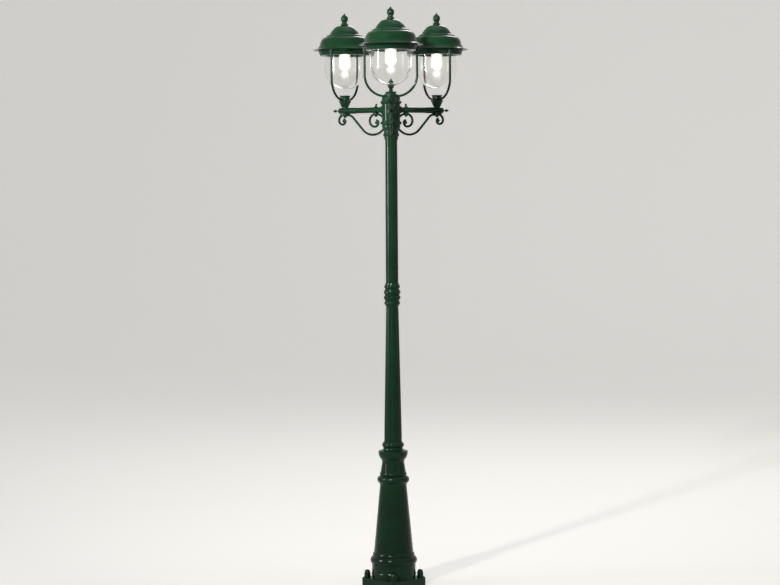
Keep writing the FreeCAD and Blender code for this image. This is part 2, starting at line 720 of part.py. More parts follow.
def arm_tip(side, angle):
    """Pointed tip whose pin sits in the arm's end."""
    foot = "arm_reach + arm_end_outer"
    body = turned("arm_tip_" + side, [
        (foot + " - tip_pin_length", "0"),
        (foot + " + tip_length", "0"),
        (foot + " + tip_length", "tip_point"),
        (foot + " + tip_length - 9", "tip_radius", "hollow", "20"),
        (foot + " + tip_length - 19", "tip_pin - 0.3", "swell", "7"),
        (foot + " + 4", "tip_pin"),
        (foot + " + 2", "tip_radius"),
        (foot, "tip_radius"),
        (foot, "tip_pin"),
        (foot + " - tip_pin_length", "tip_pin"),
    ], about="H_Axis")
    seat(body, z="arm_level", turned_by=angle)


def rod(start, heading, runs):
    """A round rod along straight runs and arcs in the arm's upright plane.

    A run is a length, or (radius, turn) with the turn in degrees, positive to the
    left. The ball of the scroll's eye sits at the last arc's centre.
    """
    edges = []
    here = point(*start)
    centre = here
    for run in runs:
        angle = math.radians(heading)
        ahead = point(math.cos(angle), 0, math.sin(angle))
        if isinstance(run, tuple):
            radius, turned_by = run
            hand = 1.0 if turned_by > 0 else -1.0
            left = point(-math.sin(angle), 0, math.cos(angle))
            centre = here + left * (hand * radius)
            spots = []
            for share in (0.5, 1.0):
                swing = math.radians(heading + turned_by * share)
                out = point(math.sin(swing), 0, -math.cos(swing))
                spots.append(centre + out * (hand * radius))
            edges.append(Part.Arc(here, spots[0], spots[1]).toShape())
            here = spots[1]
            heading += turned_by
        else:
            there = here + ahead * run
            edges.append(Part.LineSegment(here, there).toShape())
            here = there
    first = edges[0].tangentAt(edges[0].FirstParameter)
    section = Part.Wire(Part.makeCircle(number("rod_radius"), point(*start), first))
    swept = Part.Wire(edges).makePipeShell([section], True, True)
    eye = Part.makeSphere(number("eye_radius"), centre)
    return swept.fuse(eye).removeSplitter()


def big_scroll(side, angle):
    """S scroll from the hub's foot, up under the lamp and round into a volute."""
    slope = number("scroll_slope")
    rise = math.radians(slope)
    belly = number("belly_radius")
    crest = number("crest_radius")
    hub = number("hub_radius")
    crest_level = -number("arm_end_radius + rod_radius + play * 2")
    crest_start = number("arm_reach - crest_before")
    belly_centre = hub + number("belly_centre")
    run = (crest_start - (crest + belly) * math.sin(rise) - belly_centre) / math.cos(rise)
    drop = (crest + belly) * (1 - math.cos(rise)) + run * math.sin(rise)
    bottom = crest_level - drop
    entry = math.asin((belly_centre - hub + 4) / belly)
    start = (belly_centre - belly * math.sin(entry), 0,
             bottom + belly * (1 - math.cos(entry)))
    runs = [(belly, math.degrees(entry) + slope), run, (crest, -slope),
            number("crest_before + crest_after")]
    runs += [(number(name), -90) for name in
             ("volute_one", "volute_two", "volute_three", "volute_four")]
    shape = rod(start, -math.degrees(entry), runs)
    finish_scroll(side, angle, "big_scroll_", shape, number("arm_reach"))


def small_scroll(side, angle):
    """C scroll from the hub's side, over under the clamp and round into a volute."""
    root = number("curl_root")
    hub = number("hub_radius")
    crest = number("curl_reach")
    level = -number("arm_radius + rod_radius + play * 2")
    entry = math.asin(min((crest - hub + 4) / root, 1.0))
    start = (crest - root * math.sin(entry), 0, level - root * (1 - math.cos(entry)))
    runs = [(root, -math.degrees(entry))]
    runs += [(number(name), -90) for name in ("curl_one", "curl_two", "curl_three",
                                              "volute_four")]
    shape = rod(start, math.degrees(entry), runs)
    finish_scroll(side, angle, "small_scroll_", shape, crest)


def finish_scroll(side, angle, name, shape, screw_reach):
    """Trim the scroll to the hub's face and drill it for its dome screw."""
    tall = number("hub_height") * 2
    hub = Part.makeCylinder(number("hub_radius + play"), tall, point(0, 0, -tall / 2))
    shape = shape.cut(hub)
    drill = Part.makeCylinder(number("screw_radius + play"), number("pad_drop * 2"),
                              point(screw_reach, 0, -number("pad_drop * 1.5")))
    shape = shape.cut(drill)
    solids = sorted(shape.Solids, key=lambda solid: solid.Volume)
    item = feature_node(name + side, solids[-1])
    seat(item, z="arm_level", turned_by=angle)


def scroll_clamp(side, angle):
    """Strap round the arm with a slotted pad below and a leaf bud above."""
    half = "clamp_width / 2"
    body = turned("scroll_clamp_" + side, [
        ("curl_reach - " + half, "arm_radius + play"),
        ("curl_reach + " + half, "arm_radius + play"),
        ("curl_reach + " + half, "arm_radius + clamp_strap"),
        ("curl_reach - " + half, "arm_radius + clamp_strap"),
    ], about="H_Axis")
    name = side + "_clamp_"
    round_feature(body, name + "pad", "PartDesign::Pad", "XY_Plane", ("curl_reach", "0"),
                  "clamp_radius", "-clamp_drop", "clamp_drop - arm_radius - 1")
    top = "arm_radius + clamp_strap"
    foot = top + " - 1"
    bud = [
        ("curl_reach - 1", foot),
        ("curl_reach + 4", foot),
        ("curl_reach + 2", top + " + horn_rise / 3"),
        ("curl_reach + horn_width - horn_lean", top + " + horn_rise * 0.55",
         "hollow", "horn_rise"),
        ("curl_reach - horn_lean", top + " + horn_rise", "swell", "horn_rise"),
        ("curl_reach - horn_lean - 1", top + " + horn_rise * 0.5", "swell", "horn_rise"),
    ]
    shaped_feature(body, name + "bud", "PartDesign::Pad", "XZ_Plane", bud,
                   "-horn_thick / 2", "horn_thick")
    slot = [("0", "0"), ("2 * clamp_radius", "0"),
            ("2 * clamp_radius", "2 * (rod_radius + play)"), ("0", "2 * (rod_radius + play)")]
    sketch = new_sketch(body, "XY_Plane", name + "slot_outline", "-clamp_drop")
    draw(sketch, slot)
    sketch.setExpression("AttachmentOffset.Base.x", bound("curl_reach - clamp_radius"))
    sketch.setExpression("AttachmentOffset.Base.y", bound("-rod_radius - play"))
    extrude(body, name + "slot", "PartDesign::Pocket", sketch, "clamp_drop - arm_radius", True)
    seat(body, z="arm_level", turned_by=angle)


def dome_screw(shank, head, rise, length):
    """A dome-headed screw that points up, its head's top face at the origin."""
    dome = Part.makeSphere(head, point(0, 0, 0), point(0, 0, 1), -90, 0)
    squash = FreeCAD.Matrix()
    squash.scale(1, 1, (rise - 2) / head)
    dome = dome.transformGeometry(squash)
    dome.translate(point(0, 0, -2))
    collar = Part.makeCylinder(head, 2, point(0, 0, -2))
    return dome.fuse(collar).fuse(Part.makeCylinder(shank, length)).removeSplitter()


def scroll_screws():
    """Six dome screws that hold the scrolls up to the arms."""
    group = []
    screw = dome_screw(number("screw_radius"), number("screw_head"), number("screw_rise"),
                       number("screw_bite"))
    for side, angle in HEADS:
        for reach, drop in (("arm_reach", "pad_drop"), ("curl_reach", "clamp_drop")):
            copy = screw.copy()
            copy.translate(point(number(reach), 0, number("arm_level - " + drop)))
            copy.rotate(point(0, 0, 0), point(0, 0, 1), angle)
            group.append(copy)
    feature_node("scroll_screws", Part.makeCompound(group))


# ---------------------------------------------------------------- lamp heads

def seat_on_lamp(item, angle, level):
    seat(item, x=f"arm_reach * cos({angle})", y=f"arm_reach * sin({angle})",
         z="arm_level + " + level, turned_by=angle)


def cup(side, angle):
    """Leafed cup that stands on the arm and carries the yoke."""
    foot = "cup_pin_length"
    leaf = foot + " + cup_leaf_rise"
    top = foot + " + cup_height"
    body = turned("cup_" + side, [
        ("0", "0"),
        ("cup_pin", "0"),
        ("cup_pin", foot),
        ("cup_neck", foot),
        ("cup_neck", foot + " + 4"),
        ("cup_leaf", leaf, "hollow", "cup_leaf * 1.6"),
        ("cup_leaf - 0.5", leaf + " + 3"),
        ("cup_drum", leaf + " + 8", "swell", "cup_leaf / 3"),
        ("cup_drum", top + " - 5"),
        ("cup_rim", top + " - 3"),
        ("cup_rim", top),
        ("0", top),
    ])
    flute = round_feature(body, side + "_leaf_groove", "PartDesign::Pocket", "XY_Plane",
                          ("cup_leaf + 1.4", "0"), "cup_groove", foot + " + 3",
                          "cup_leaf_rise + 6", True)
    around(body, flute, side + "_leaf_grooves", 10)
    bar = "cup_pin_length + yoke_level - arm_end_radius"
    round_feature(body, side + "_bar_hole", "PartDesign::Pocket", "XZ_Plane", ("0", bar),
                  "yoke_radius + play", "-2 * cup_rim", "4 * cup_rim", True)
    seat_on_lamp(body, angle, "arm_end_radius - cup_pin_length")


def yoke(side, angle):
    """Round rod bent to a U, square to the arm, carrying the gallery."""
    body = new_body("yoke_" + side)
    section = new_sketch(body, "XZ_Plane", side + "_rod_circle")
    draw_circle(section, "0", "yoke_level", "yoke_radius")
    path = new_sketch(body, "YZ_Plane", side + "_rod_path")
    draw(path, [
        ("0", "yoke_level"),
        ("yoke_span - yoke_bend", "yoke_level"),
        ("yoke_span", "yoke_level + yoke_bend", "swell", "yoke_bend"),
        ("yoke_span", "gallery_level + yoke_bite"),
    ], closed=False)
    half = body.newObject("PartDesign::AdditivePipe", side + "_half_yoke")
    half.Profile = section
    half.Spine = path
    mirror = body.newObject("PartDesign::Mirrored", side + "_whole_yoke")
    mirror.Originals = [half]
    mirror.MirrorPlane = (origin_part(body, "XZ_Plane"), [""])
    body.Tip = mirror
    seat_on_lamp(body, angle, "0")


def gallery(side, angle):
    """Ring that holds the glass and carries the roof, with two lugs for the yoke."""
    body = turned("gallery_" + side, [
        ("gallery_bore", "0"),
        ("gallery_foot_radius", "0"),
        ("gallery_top_radius", "gallery_height - 5"),
        ("gallery_top_radius", "gallery_height"),
        ("gallery_lip", "gallery_height"),
        ("gallery_lip", "gallery_ledge"),
        ("gallery_bore", "gallery_ledge"),
    ])
    name = side + "_"
    lug = round_feature(body, name + "lug", "PartDesign::Pad", "XY_Plane", ("0", "yoke_span"),
                        "lug_radius", "0", "gallery_height - 6")
    around(body, lug, name + "lugs", 2)
    turn(body, name + "clear_bore", [
        ("0", "0"),
        ("gallery_bore", "0"),
        ("gallery_bore", "gallery_ledge"),
        ("gallery_lip", "gallery_ledge"),
        ("gallery_lip", "gallery_height"),
        ("0", "gallery_height"),
    ], kind="PartDesign::Groove")
    hole = round_feature(body, name + "yoke_hole", "PartDesign::Pocket", "XY_Plane",
                         ("0", "yoke_span"), "yoke_radius + play", "0", "yoke_bite", True)
    around(body, hole, name + "yoke_holes", 2)
    pin = round_feature(body, name + "pin_hole", "PartDesign::Pocket", "YZ_Plane",
                        ("0", "gallery_height - pin_drop"), "pin_radius + play", "0",
                        "gallery_top_radius + 1", True)
    around(body, pin, name + "pin_holes", 3)
    seat_on_lamp(body, angle, "gallery_level")


def glass(side, angle):
    """Clear jar, open at the top, hung by its rim in the gallery."""
    rim = "gallery_level + gallery_ledge + gasket_thick - glass_level"
    inner = "glass_radius - glass_wall"
    body = turned("glass_" + side, [
        ("0", "0"),
        ("glass_radius", "glass_radius", "swell", "glass_radius"),
        ("glass_radius", rim),
        ("gallery_lip - rim_gap", rim),
        ("gallery_lip - rim_gap", rim + " + glass_rim"),
        (inner, rim + " + glass_rim"),
        (inner, "glass_radius"),
        ("0", "glass_wall", "hollow", inner),
    ])
    seat_on_lamp(body, angle, "glass_level")


def gasket(side, angle):
    body = turned("gasket_" + side, [
        ("gallery_bore", "0"),
        ("gallery_lip - rim_gap", "0"),
        ("gallery_lip - rim_gap", "gasket_thick"),
        ("gallery_bore", "gasket_thick"),
    ])
    seat_on_lamp(body, angle, "gallery_level + gallery_ledge")


def roof(side, angle):
    """Cast roof: flared brim, drum, rounded shoulder, step and upper dome."""
    wall = "roof_wall"
    step = "roof_shoulder + 10"
    lip = "gallery_lip - lift_gap"
    body = turned("roof_" + side, [
        (lip + " - roof_lip_wall", "-roof_lip"),
        (lip, "-roof_lip"),
        (lip, "0"),
        ("roof_neck_radius", "0"),
        ("brim_radius - 1", "-brim_drop - brim_edge"),
        ("brim_radius", "-brim_drop"),
        ("roof_neck_radius + 4", "3"),
        ("roof_neck_radius", "7", "hollow", "6"),
        ("roof_drum_radius", "roof_shoulder / 2 + 3", "hollow", "40"),
        ("roof_drum_radius - 6", "roof_shoulder - 7", "swell", "30"),
        ("roof_shoulder_radius", "roof_shoulder", "swell", "18"),
        ("roof_shoulder_radius - 8", "roof_shoulder + 3"),
        ("roof_step_radius + 8", step + " - 1", "swell", "9"),
        ("roof_step_radius", step + " + 2"),
        ("roof_step_radius - 14", "roof_height - 13", "swell", "70"),
        ("22", "roof_height", "swell", "32"),
        ("stud_radius + play", "roof_height"),
        ("stud_radius + play", "roof_height - " + wall),
        ("22", "roof_height - " + wall),
        ("roof_step_radius - 17", "roof_height - 15 - " + wall),
        ("roof_step_radius - " + wall, step + " - " + wall),
        ("roof_shoulder_radius - 4", "roof_shoulder - " + wall),
        ("roof_drum_radius - 8", "roof_shoulder - 14"),
        ("roof_drum_radius - " + wall, "roof_shoulder / 2"),
        (lip + " - roof_lip_wall", "4"),
    ])
    seat_on_lamp(body, angle, GALLERY_TOP)


def roof_finial(side, angle):
    """Acorn finial whose stud passes through the roof to the lamp holder."""
    foot = "stud_length"
    top = "stud_length + finial_height"
    body = turned("roof_finial_" + side, [
        ("0", "0"),
        ("stud_radius", "0"),
        ("stud_radius", foot),
        ("finial_foot", foot),
        ("finial_foot", foot + " + finial_ring", "swell", "finial_ring / 2 + 1"),
        ("finial_neck", foot + " + finial_ring + 5", "hollow", "8"),
        ("finial_neck", foot + " + finial_ring + 8"),
        ("finial_acorn", top + " - 22", "swell", "18"),
        ("finial_acorn / 2", top + " - 8", "swell", "17"),
        ("tip_point", top, "hollow", "30"),
        ("0", top),
    ])
    seat_on_lamp(body, angle, GALLERY_TOP + " + roof_height - stud_length")


def lamp_holder(side, angle):
    """Screw lamp holder, hanging mouth down from the finial's stud."""
    body = turned("lamp_holder_" + side, [
        ("holder_shell", "0"),
        ("holder_radius", "0"),
        ("holder_radius", "holder_height - 12"),
        ("holder_radius - 7", "holder_height", "swell", "16"),
        ("stud_radius", "holder_height"),
        ("stud_radius", "holder_height - holder_hang"),
        ("0", "holder_height - holder_hang"),
        ("0", "holder_depth"),
        ("holder_shell", "holder_depth"),
    ])
    seat_on_lamp(body, angle, HOLDER_FOOT)


HOLDER_FOOT = (GALLERY_TOP + " + roof_height - stud_length + holder_hang - holder_height")


def bulb(side, angle):
    """Bulb that hangs cap up: its screw cap, and its tapering envelope."""
    body = turned("bulb_cap_" + side, [
        ("0", "0"),
        ("cap_radius", "0"),
        ("cap_radius", "cap_length - 5"),
        ("5", "cap_length - 2"),
        ("5", "cap_length"),
        ("0", "cap_length"),
    ])
    seat_on_lamp(body, angle, HOLDER_FOOT + " + 1")
    body = turned("bulb_envelope_" + side, [
        ("0", "0"),
        ("bulb_radius", "bulb_radius", "swell", "bulb_radius"),
        ("bulb_radius", "bulb_length / 2"),
        ("bulb_neck", "bulb_length - 8", "swell", "bulb_length"),
        ("bulb_neck - 3", "bulb_length"),
        ("0", "bulb_length"),
    ])
    seat_on_lamp(body, angle, HOLDER_FOOT + " + 1 - bulb_length")


def gallery_pins():
    """Nine screws, three to a gallery, that grip the roof's lip."""
    group = []
    shank = number("pin_radius")
    head = number("pin_head")
    outer = number("gallery_top_radius")
    inner = number("gallery_lip")
    level = number("arm_level + " + GALLERY_TOP + " - pin_drop")
    for side, angle in HEADS:
        for third in range(3):
            pin = Part.makeCylinder(shank, outer - inner, point(inner, 0, 0), point(1, 0, 0))
            knob = Part.makeCylinder(head, number("pin_head_length"), point(outer, 0, 0),
                                     point(1, 0, 0))
            pin = pin.fuse(knob)
            pin.rotate(point(0, 0, 0), point(0, 0, 1), 120 * third)
            pin.translate(point(number("arm_reach"), 0, level))
            pin.rotate(point(0, 0, 0), point(0, 0, 1), angle)
            group.append(pin)
    feature_node("gallery_screws", Part.makeCompound(group))


# ---------------------------------------------------------------- assembly

def check_and_write():
    """Stop on any failed object, then write one file per sub-part."""
    doc.recompute()
    faults = [item.Name + ": " + ", ".join(item.State) for item in doc.Objects
              if "Invalid" in item.State or "Error" in item.State]
    for item in nodes:
        if item.Shape.isNull() or not item.Shape.isValid() or not item.Shape.Solids:
            faults.append(item.Label + ": bad shape")
    if faults:
        raise RuntimeError("; ".join(faults))
    os.makedirs("parts", exist_ok=True)
    for item in nodes:
        item.Shape.exportStep(os.path.join("parts", item.Label + ".step"))
    print(len(nodes), "nodes written")


fill_sheet()
base_casting()
anchor_fittings()
lower_column()
joint_collar()
joint_sleeve()
upper_column()
hub_casting()
hub_cap()
seat(terminal_block(), z="hub_level + hub_socket + hub_floor")
for side_name, azimuth in HEADS:
    arm(side_name, azimuth)
    arm_tip(side_name, azimuth)
    big_scroll(side_name, azimuth)
    small_scroll(side_name, azimuth)
    scroll_clamp(side_name, azimuth)
    cup(side_name, azimuth)
    yoke(side_name, azimuth)
    gallery(side_name, azimuth)
    glass(side_name, azimuth)
    gasket(side_name, azimuth)
    roof(side_name, azimuth)
    roof_finial(side_name, azimuth)
    lamp_holder(side_name, azimuth)
    bulb(side_name, azimuth)
scroll_screws()
gallery_pins()
check_and_write()
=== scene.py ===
"""Looks of the three-headed garden lamp post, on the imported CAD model. Metres, +Z up."""

import json
import math

import bmesh
import bpy
from mathutils import Matrix, Vector


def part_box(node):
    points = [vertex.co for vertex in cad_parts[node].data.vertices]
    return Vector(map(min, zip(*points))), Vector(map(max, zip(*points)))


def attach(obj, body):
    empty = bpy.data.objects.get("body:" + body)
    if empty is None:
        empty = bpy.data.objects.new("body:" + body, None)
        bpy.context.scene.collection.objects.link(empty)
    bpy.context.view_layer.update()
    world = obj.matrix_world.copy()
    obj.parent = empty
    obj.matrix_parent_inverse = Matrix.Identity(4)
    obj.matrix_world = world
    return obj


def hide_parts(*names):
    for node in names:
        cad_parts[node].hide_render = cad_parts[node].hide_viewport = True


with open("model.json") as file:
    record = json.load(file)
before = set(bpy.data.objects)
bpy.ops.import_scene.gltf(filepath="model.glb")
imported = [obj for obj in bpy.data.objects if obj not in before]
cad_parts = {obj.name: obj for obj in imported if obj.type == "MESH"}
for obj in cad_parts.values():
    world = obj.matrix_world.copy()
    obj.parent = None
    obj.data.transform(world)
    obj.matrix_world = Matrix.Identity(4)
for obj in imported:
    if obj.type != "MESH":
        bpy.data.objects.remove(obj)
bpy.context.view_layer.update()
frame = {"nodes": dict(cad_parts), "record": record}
record = frame["record"]
nodes = frame["nodes"]
HEADS = {"front": -90, "right": 30, "left": 150}

# camera: where it stands, how far down it looks, and how much the photograph leans
CAMERA_DISTANCE = 8.60
CAMERA_HEIGHT = 1.50
CAMERA_SIDE = -0.0082
CAMERA_PITCH = math.radians(2.43)
CAMERA_ROLL = math.radians(-0.35)
SENSOR_WIDTH = 36.0
PHOTO_WIDTH = 780
FOCAL_PIXELS = 2236.5

# paint: two tones that drift into each other, dust and painted shade in the corners, rubbed edges
PAINT_DARK = (0.0050, 0.0330, 0.0130)
PAINT_LIGHT = (0.0075, 0.0460, 0.0180)
# painted shade with dust: the darker grey-green that corners and crevices are mixed toward
PAINT_DUST_AND_SHADE = (0.0110, 0.0260, 0.0120)
PAINT_RUBBED = (0.0150, 0.0700, 0.0320)
PAINT_DUST_AND_SHADE_SHARE = 0.55
PAINT_RUBBED_SHARE = 0.20
PAINT_CORNER = 0.012
PAINT_ROUGH = (0.11, 0.21)
PAINT_SPECULAR = 0.13
PAINT_COAT = 0.02
PAINT_COAT_ROUGH = 0.08

# clear glass: tint and roughness where it is clean and where it is dusty
GLASS_CLEAN = (0.985, 0.99, 0.98)
GLASS_DUSTY = (0.93, 0.94, 0.90)
GLASS_IOR = 1.45
GLASS_DUSTY_ROUGH = 0.10

# bulb: how bright its middle, its limb and its shaded neck are
BULB_CORE = 14.0
BULB_LIMB = 0.55
BULB_NECK = 0.30
BULB_WHITE = (1.0, 0.95, 0.86)
BULB_CORE_GLOW = (1.0, 0.96, 0.89)
BULB_LIMB_GLOW = (1.0, 0.84, 0.62)
BULB_ROUGH = 0.35
BULB_LIMB_BLEND = 0.35
BULB_LIMB_REACH = 0.62
BULB_FALL = 3.0
BULB_NECK_BELOW = 0.035
BULB_NECK_ABOVE = 0.005

# leaves on the cups, as shares of a cup's height and radius, or of a leaf's own length and width
LEAVES = 10
LEAF_FOOT = 0.23
LEAF_TIP = 0.66
LEAF_NECK = 0.47
LEAF_LIP = 0.985
LEAF_SWELL = 0.070
LEAF_RIB = 0.035
LEAF_RIB_WIDTH = 0.16
LEAF_CURL = 0.085
LEAF_CURL_START = 0.72
LEAF_ROOT = 0.06
LEAF_WIDTH_START = 0.18
LEAF_BLUNTNESS = 0.6
LEAF_POINT = 0.03
LEAF_FILL = 0.94
LEAF_CROWN_START = 0.12
LEAF_ACROSS = 8
LEAF_ALONG = 14

# hub, its lid and the scrolls in millimetres: levels above the ground, reaches from the axis;
# an outline is (radius, height) pairs, and a third value bows the run that leads there
MILLIMETRE = 0.001
ARM_LEVEL = 1837.0
ARM_REACH = 206.0
ARM_BOSS = 15.0
ARM_BOSS_REACH = 41.0
HUB_FOOT = 1722.0
HUB_RADIUS = 35.0
HUB_BORE = 23.6
HUB_OUTLINE = ((HUB_BORE, 0), (26.3, 0), (27, 11), (28, 25, 8.5), (28, 35), (HUB_RADIUS, 46),
               (HUB_RADIUS, 56.5), (HUB_RADIUS, 70.5, 7.1), (HUB_RADIUS, 136),
               (HUB_RADIUS, 150, 7.1), (HUB_RADIUS, 162), (HUB_BORE, 162))
LID_LEVEL = 1884.0
LID_OUTLINE = ((0, 0), (34, 0), (34, 3), (9, 21, 40), (8, 28, -8), (6.5, 33), (6, 54, 12.3),
               (5, 58.7), (0.6, 68, -28), (0, 68))
ROD_RADIUS = 4.6
EYE_RADIUS = 6.2
ROOT_DEPTH = 4.0
BIG_CREST_DROP = 16.8
BIG_BELLY = 62.0
BIG_BELLY_CENTRE = 45.5
BIG_BELLY_DROP = 77.7
BIG_BEND = 30.0
BIG_FLAT = (14.0, 7.0)
BIG_VOLUTE = (20.0, 15.6, 12.8, 7.0)
SMALL_CREST_DROP = 15.8
SMALL_ROOT = 36.0
SMALL_REACH = 67.0
SMALL_FLAT = 6.0
SMALL_VOLUTE = (25.0, 23.0, 15.5, 8.5)
VOLUTE_TURN = -90.0

# fineness of the meshes; angles in degrees
ARC_STEP = 6.0
ROUND_SIDES = 96
ROD_SIDES = 20
EYE_SEGMENTS = 24
EYE_RINGS = 16
SHARP_ANGLE = 32
ON_AXIS = 1e-6

# stage: a pale sheet that curves up behind, and a world of the same tone round it
FLOOR_HALF = 12.0
BACKDROP_FRONT = -12.0
BACKDROP_BACK = 10.0
BACKDROP_CURVE = 2.0
BACKDROP_HEIGHT = 6.0
BACKDROP_STEPS = 16
PAPER = (0.80, 0.79, 0.76)
PAPER_ROUGH = 0.9
PAPER_STRENGTH = 0.62
WORLD_LIGHT = 0.14 / PAPER[1]
WORLD_SEEN = 0.80

# lamps: place, point aimed at, width and height, watts, colour, spread in degrees, glint only
WHITE = (1.0, 1.0, 1.0)
WARM = (1.0, 0.98, 0.94)
COOL = (0.96, 0.98, 1.0)
COOLER = (0.95, 0.98, 1.0)
OPEN = 180
LAMPS = {
    "key_left": ((-1.9, -3.6, 3.3), (0, 0, 2.25), (0.22, 0.30), 25.0, WARM, 62, False),
    "strip_left": ((-3.6, -0.8, 1.7), (0, 0, 1.1), (0.14, 2.0), 9.0, COOL, 120, False),
    "fill_right": ((3.6, -2.8, 2.2), (0, 0, 1.2), (1.4, 2.4), 6.0, COOLER, OPEN, False),
    "back": ((1.2, 4.6, 5.0), (0, 0, 1.5), (2.0, 1.4), 70.0, WHITE, OPEN, False),
    "glint_middle": ((-1.4, -3.9, 2.6), (0, 0, 1.2), (0.12, 0.8), 120.0, WHITE, OPEN, True),
    "glint_left": ((-3.5, -1.2, 2.0), (0, 0, 1.2), (0.14, 1.4), 100.0, WHITE, OPEN, True),
    "top": ((0.3, 0.4, 4.8), (0, 0, 1.6), (2.0, 2.0), 20.0, WHITE, OPEN, False),
}


# ---------------------------------------------------------------- node helpers

def new_material(name):
    """A new material with its node tree and shader."""
    mat = bpy.data.materials.new(name)
    mat.use_nodes = True
    tree = mat.node_tree
    return mat, tree, tree.nodes["Principled BSDF"]


def add(tree, kind, **settings):
    """Add a node; each setting goes to the socket of that name, or else to the node itself."""
    node = tree.nodes.new(kind)
    for key, value in settings.items():
        if key in node.inputs:
            node.inputs[key].default_value = value
        else:
            setattr(node, key, value)
    return node


def noise(tree, scale, detail=3.0, roughness=0.5):
    """Noise in the object's own metres, so its grain has a real size."""
    where = add(tree, "ShaderNodeTexCoord")
    node = add(tree, "ShaderNodeTexNoise", Scale=scale, Detail=detail, Roughness=roughness)
    tree.links.new(where.outputs["Object"], node.inputs["Vector"])
    return node.outputs["Fac"]


def span(tree, value, low, high, to_low, to_high):
    """Map a value's range to another one."""
    node = add(tree, "ShaderNodeMapRange")
    node.inputs["From Min"].default_value = low
    node.inputs["From Max"].default_value = high
    node.inputs["To Min"].default_value = to_low
    node.inputs["To Max"].default_value = to_high
    tree.links.new(value, node.inputs["Value"])
    return node.outputs["Result"]


def mixed(tree, share, first, second):
    """Mix two colours; each is a colour or a socket."""
    node = add(tree, "ShaderNodeMix", data_type="RGBA")
    tree.links.new(share, node.inputs[0])
    for socket, value in ((node.inputs[6], first), (node.inputs[7], second)):
        if isinstance(value, bpy.types.NodeSocket):
            tree.links.new(value, socket)
        else:
            socket.default_value = (*value, 1.0)
    return node.outputs[2]


def bump(tree, shader, height, strength, distance, onto=None):
    """Raise a shader's surface by a height, on top of another bump where one is given."""
    node = add(tree, "ShaderNodeBump")
    node.inputs["Strength"].default_value = strength
    node.inputs["Distance"].default_value = distance
    tree.links.new(height, node.inputs["Height"])
    if onto is not None:
        tree.links.new(onto, node.inputs["Normal"])
    tree.links.new(node.outputs["Normal"], shader.inputs["Normal"])
    return node.outputs["Normal"]


# ---------------------------------------------------------------- materials

def green_paint():
    """Glossy dark green paint on cast aluminium: orange peel, dust and painted shade in corners,
    rubbed edges.
    """
    mat, tree, shader = new_material("green_paint")
    blotch = span(tree, noise(tree, scale=9.0, detail=4.0), 0.35, 0.65, 0.0, 1.0)
    coat = mixed(tree, blotch, PAINT_DARK, PAINT_LIGHT)
    # painted shade: ambient occlusion mixes a darker grey-green into corners and crevices, partly
    # dust
    corner = add(tree, "ShaderNodeAmbientOcclusion", Distance=PAINT_CORNER, samples=8)
    dust_and_shade_share = span(tree, corner.outputs["AO"], 0.35, 0.80, PAINT_DUST_AND_SHADE_SHARE, 0.0)
    dusted_and_shaded = mixed(tree, dust_and_shade_share, coat, PAINT_DUST_AND_SHADE)
    edge = add(tree, "ShaderNodeNewGeometry")
    rubbed = span(tree, edge.outputs["Pointiness"], 0.54, 0.62, 0.0, PAINT_RUBBED_SHARE)
    colour = mixed(tree, rubbed, dusted_and_shaded, PAINT_RUBBED)
    tree.links.new(colour, shader.inputs["Base Color"])
    rough = span(tree, noise(tree, scale=55.0, detail=5.0, roughness=0.6), 0.3, 0.7, *PAINT_ROUGH)
    tree.links.new(rough, shader.inputs["Roughness"])
    shader.inputs["Specular IOR Level"].default_value = PAINT_SPECULAR
    shader.inputs["Coat Weight"].default_value = PAINT_COAT
    shader.inputs["Coat Roughness"].default_value = PAINT_COAT_ROUGH
    peel = bump(tree, shader, noise(tree, scale=420.0, detail=2.0),
                strength=0.07, distance=0.0005)
    bump(tree, shader, noise(tree, scale=42.0, detail=3.0),
         strength=0.12, distance=0.0010, onto=peel)
    return mat


def bare_metal(name, dark, light, tone_scale, tone_detail, grain, rough):
    """Bare metal whose tone and gloss drift a little."""
    mat, tree, shader = new_material(name)
    shader.inputs["Metallic"].default_value = 1.0
    tone = mixed(tree, noise(tree, tone_scale, tone_detail), dark, light)
    tree.links.new(tone, shader.inputs["Base Color"])
    tree.links.new(span(tree, noise(tree, grain), 0.3, 0.7, *rough), shader.inputs["Roughness"])
    return mat


def moulded(name, first, second, rough, grain):
    """Moulded plastic or rubber with a fine mat surface, in two tones that drift."""
    mat, tree, shader = new_material(name)
    tree.links.new(mixed(tree, noise(tree, scale=40.0, detail=4.0), first, second),
                   shader.inputs["Base Color"])
    tree.links.new(span(tree, noise(tree, scale=180.0), 0.3, 0.7, *rough),
                   shader.inputs["Roughness"])
    bump(tree, shader, noise(tree, grain, detail=2.0), strength=0.12, distance=0.0004)
    return mat


def clear_glass():
    """Clear pressed glass, slightly uneven, with a little dust."""
    mat, tree, shader = new_material("clear_glass")
    shader.inputs["Transmission Weight"].default_value = 1.0
    shader.inputs["IOR"].default_value = GLASS_IOR
    dust = span(tree, noise(tree, scale=24.0, detail=5.0, roughness=0.65), 0.45, 0.80, 0.0, 1.0)
    tree.links.new(mixed(tree, dust, GLASS_CLEAN, GLASS_DUSTY), shader.inputs["Base Color"])
    tree.links.new(span(tree, dust, 0.0, 1.0, 0.0, GLASS_DUSTY_ROUGH),
                   shader.inputs["Roughness"])
    bump(tree, shader, noise(tree, scale=16.0, detail=2.0), strength=0.06, distance=0.0010)
    return mat


